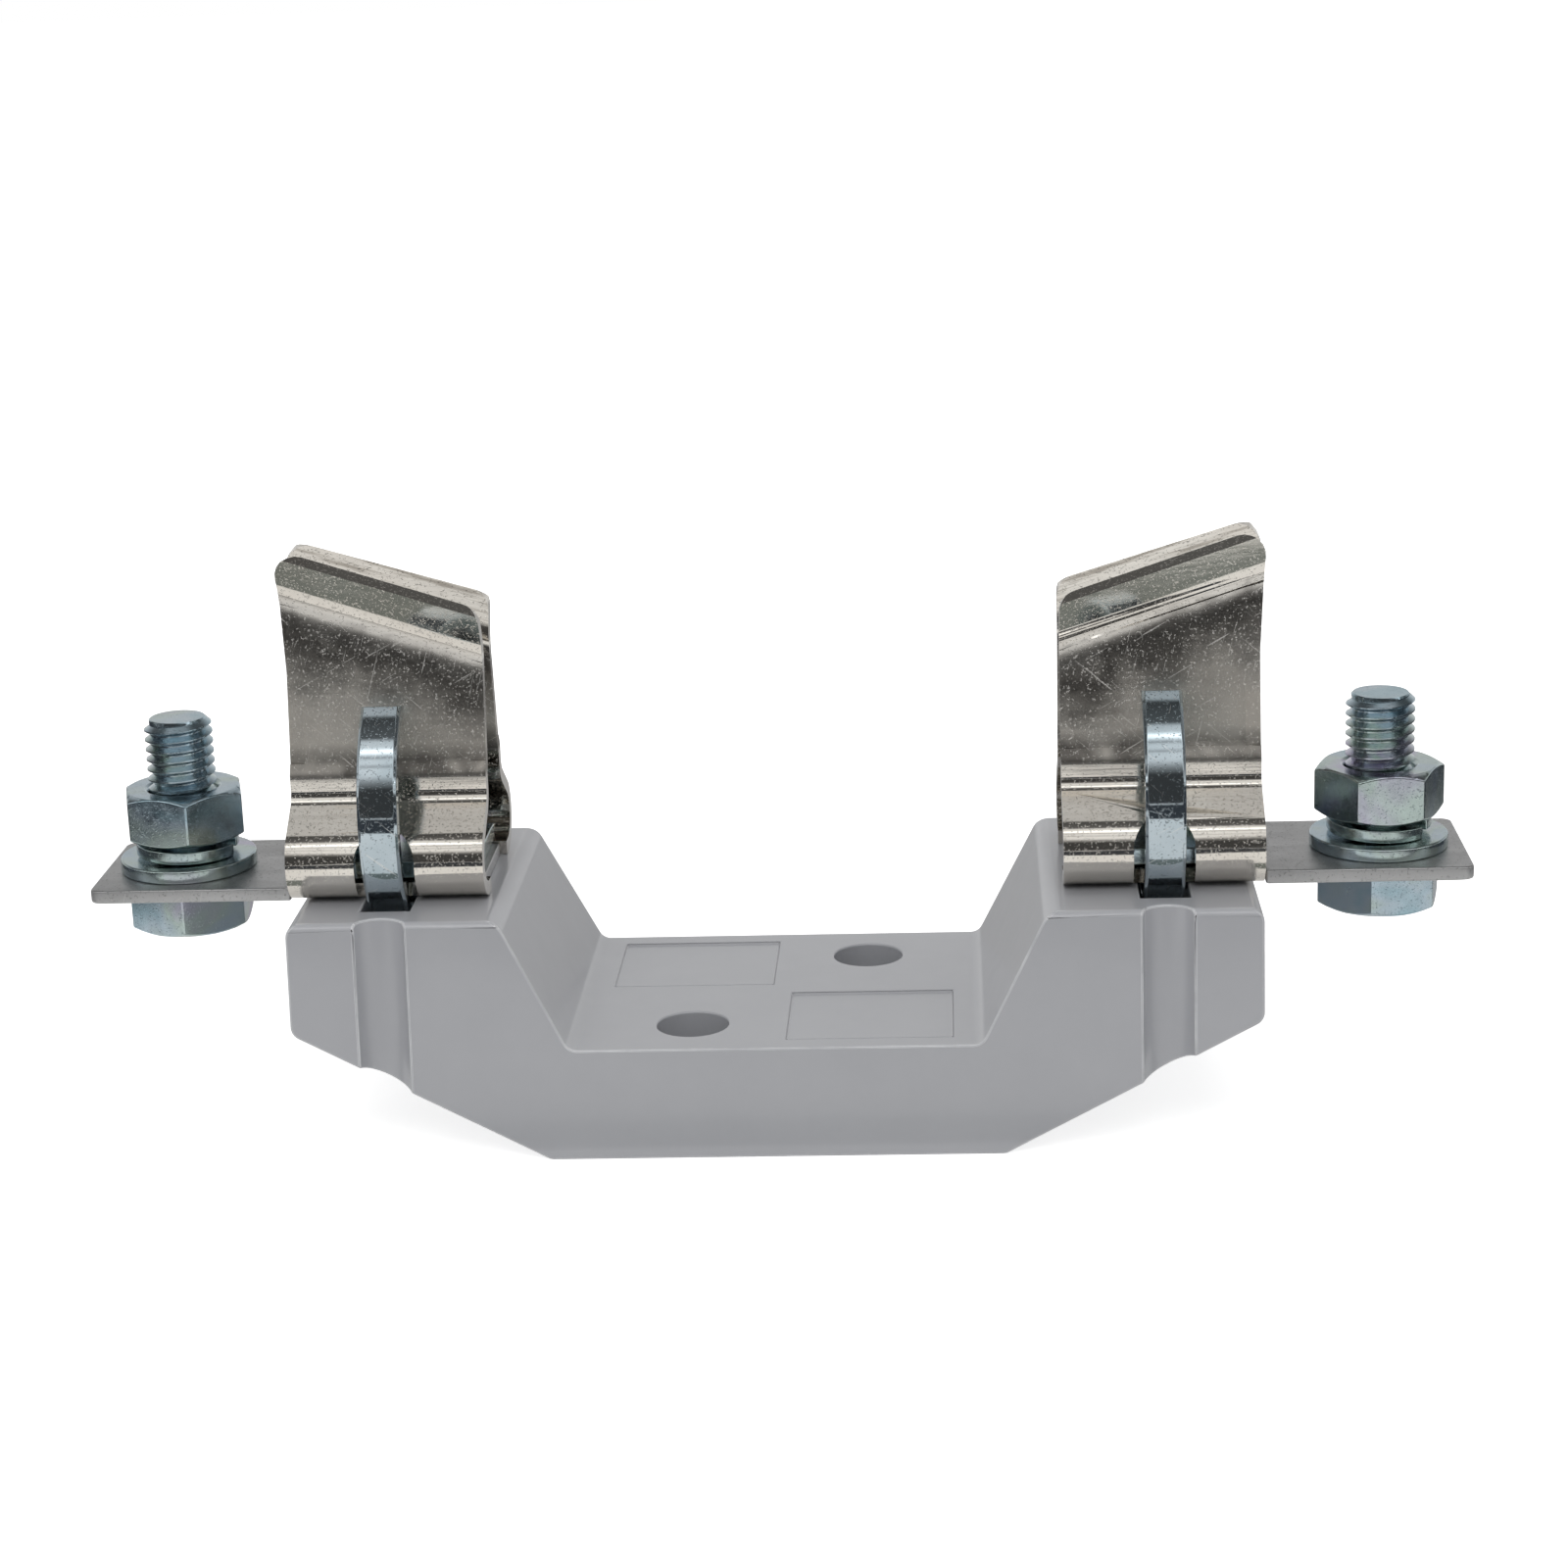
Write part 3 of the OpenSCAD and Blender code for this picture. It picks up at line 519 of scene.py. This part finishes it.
def piece(name, mesh, node, body, bevel, segments=2, angle=30.0, clamp=False):
    """A piece that stands for a CAD node, with edges over an angle in degrees eased by a bevel in mm.

    Without a bevel they stay sharp. Without a body the piece still has to be blended.
    """
    data = bpy.data.meshes.new(name)
    mesh.to_mesh(data)
    mesh.free()
    data.shade_smooth()
    data.materials.append(MATERIALS[SLOT_OF[node]])
    obj = bpy.data.objects.new(name, data)
    bpy.context.collection.objects.link(obj)
    if bevel:
        ease = obj.modifiers.new("ease", "BEVEL")
        ease.width = bevel * MM
        ease.segments = segments
        ease.limit_method = "ANGLE"
        ease.angle_limit = math.radians(angle)
        ease.harden_normals = True
        ease.use_clamp_overlap = clamp
        even = obj.modifiers.new("even", "WEIGHTED_NORMAL")
        even.keep_sharp = True
    else:
        data.set_sharp_from_angle(angle=math.radians(angle))
    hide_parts(node)
    if body:
        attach(obj, body)
    return obj


BODIES = frame["record"]["behaviour"]["bodies"]
BODY_OF = {node: body for body, nodes in BODIES.items() for node in nodes}

BASE_BEVEL = 0.3
# Node without its side: (bevel in mm, segments)
EASED = {
    "strap": (0.3, 2),
    "clamp_plate": (0.25, 2),
    "front_jaw": (0.3, 2),
    "rear_jaw": (0.3, 2),
    "fixing_screws": (0.15, 1),
    "fixing_washers": (0.12, 1),
    "fixing_nuts": (0.15, 1),
    "flat_washer": (0.3, 2),
    "spring_washer": (0.2, 2),
    "terminal_nut": (0.2, 2),
}


def dress_cad_nodes():
    """Eased copies of the nodes whose CAD shape is right; the jaws' narrow facets need a clamped bevel."""
    for side in SIDES:
        for kind, (bevel, segments) in EASED.items():
            node = f"{side}_{kind}"
            jaw = kind.endswith("jaw")
            piece(f"{node}_eased", merged(node), node, BODY_OF[node], bevel, segments, clamp=jaw)
    piece("base_body_eased", merged("base_body"), "base_body", BODY_OF["base_body"], BASE_BEVEL)


THREAD_PITCH = 1.5 * MM
THREAD_DEPTH = 0.85 * MM
THREAD_SIDES = 64
# Points of the thread closer than this in metres are one
THREAD_JOIN = 1e-6
# One pitch of the thread as (share of the pitch, share of the depth cut away)
THREAD_FORM = ((0.0, 0.0), (0.12, 0.0), (0.5, 1.0), (0.62, 1.0))


def add_thread(mesh, centre, radius, bottom, top, tip):
    """A helical thread from bottom to top whose end is turned down to the tip's radius."""
    turns = math.ceil((top - bottom) / THREAD_PITCH) + 2
    rows = []
    for turn in range(turns):
        for share, cut in THREAD_FORM:
            row = []
            for k in range(THREAD_SIDES + 1):
                angle = 2 * math.pi * k / THREAD_SIDES
                z = bottom + THREAD_PITCH * (turn - 1 + share + k / THREAD_SIDES)
                z = min(max(z, bottom), top)
                r = min(radius - THREAD_DEPTH * cut, tip + (top - z))
                place = (centre.x + r * math.cos(angle), centre.y + r * math.sin(angle), z)
                row.append(mesh.verts.new(place))
            rows.append(row)
    for low, high in zip(rows, rows[1:]):
        for k in range(THREAD_SIDES):
            mesh.faces.new((low[k], low[k + 1], high[k + 1], high[k]))
    end = [
        mesh.verts.new((centre.x + tip * math.cos(a), centre.y + tip * math.sin(a), top))
        for a in (2 * math.pi * k / THREAD_SIDES for k in range(THREAD_SIDES))
    ]
    mesh.faces.new(end)


# How far above the head's top the shank is measured, how far the thread starts inside the cut shank,
# and how much smaller in radius the thread's tip is
SHANK_CLEAR = 0.1 * MM
THREAD_START = 0.5 * MM
TIP_LESS = 1.0 * MM
HEAD_BEVEL = 0.2


def add_terminal_bolts():
    """Terminal bolts: the CAD head and the shank up to the strap's top, with a threaded end."""
    for side in SIDES:
        node = f"{side}_terminal_bolt"
        bolt_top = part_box(node)[1][2]
        head_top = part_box(f"{side}_strap")[0][2]
        strap_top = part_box(f"{side}_strap")[1][2]
        mesh = merged(node)
        cut = {"plane_co": (0, 0, strap_top), "plane_no": (0, 0, 1), "clear_outer": True}
        bmesh.ops.bisect_plane(mesh, geom=mesh.verts[:] + mesh.edges[:] + mesh.faces[:], **cut)
        bmesh.ops.holes_fill(mesh, edges=[e for e in mesh.edges if e.is_boundary])
        shank = [v.co for v in mesh.verts if v.co.z > head_top + SHANK_CLEAR]
        centre = sum(shank, Vector()) / len(shank)
        radius = max((v - centre).xy.length for v in shank)
        piece(f"{node}_head", mesh, node, BODY_OF[node], HEAD_BEVEL)
        thread = bmesh.new()
        add_thread(thread, centre, radius, strap_top - THREAD_START, bolt_top, radius - TIP_LESS)
        bmesh.ops.remove_doubles(thread, verts=thread.verts, dist=THREAD_JOIN)
        piece(f"{node}_thread", thread, node, BODY_OF[node], 0, angle=25.0)


RING_STEPS = 56
# Chamfer of the ring's section, and how near the CAD ring's inner and outer radius its ends are read
RING_EASE = 0.45 * MM
RING_READ = 0.05 * MM
RING_BEVEL = 0.12


def add_spring_rings():
    """Each ring swept in two halves, from its foot up to the tips at the jaws."""
    for side in SIDES:
        node = f"{side}_spring_ring"
        low, high = (Vector(corner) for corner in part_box(node))
        outer = (high.y - low.y) / 2
        centre = Vector(((low.x + high.x) / 2, 0, low.z + outer))
        half_width = (high.x - low.x) / 2
        points = [(Vector(v.co) - centre).yz for v in frame["nodes"][node].data.vertices]
        inner = min(p.length for p in points)
        open_inner = min(math.atan2(abs(p.x), p.y) for p in points if p.length < inner + RING_READ)
        open_outer = min(math.atan2(abs(p.x), p.y) for p in points if p.length > outer - RING_READ)
        w, e = half_width, RING_EASE
        section = [
            (w - e, outer), (w, outer - e), (w, inner + e), (w - e, inner),
            (-w + e, inner), (-w, inner + e), (-w, outer - e), (-w + e, outer),
        ]
        for face in FACES:
            sign = -1 if face == "front" else 1
            mesh = bmesh.new()
            rows = []
            for k in range(RING_STEPS + 1):
                row = []
                for x, r in section:
                    opening = open_inner + (open_outer - open_inner) * (r - inner) / (outer - inner)
                    angle = math.pi - (math.pi - opening) * k / RING_STEPS
                    place = (centre.x + x, sign * r * math.sin(angle), centre.z + r * math.cos(angle))
                    row.append(mesh.verts.new(place))
                rows.append(row)
            for a, b in zip(rows, rows[1:]):
                for k in range(len(section)):
                    mesh.faces.new((a[k], a[k - 1], b[k - 1], b[k]))
            mesh.faces.new(rows[0])
            mesh.faces.new(rows[-1][::-1])
            bmesh.ops.recalc_face_normals(mesh, faces=mesh.faces)
            obj = piece(f"{node}_{face}", mesh, node, None, RING_BEVEL, angle=25.0)
            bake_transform(obj)


add_camera()
add_world()
add_floor()
add_cloths()
for lamp_name, (lamp_place, lamp_size, lamp_watts, lamp_colour) in SOFTBOXES.items():
    add_softbox(lamp_name, lamp_place, lamp_size, lamp_watts, lamp_colour)
dress_cad_nodes()
add_terminal_bolts()
add_spring_rings()
bpy.context.scene.view_settings.view_transform = "Standard"
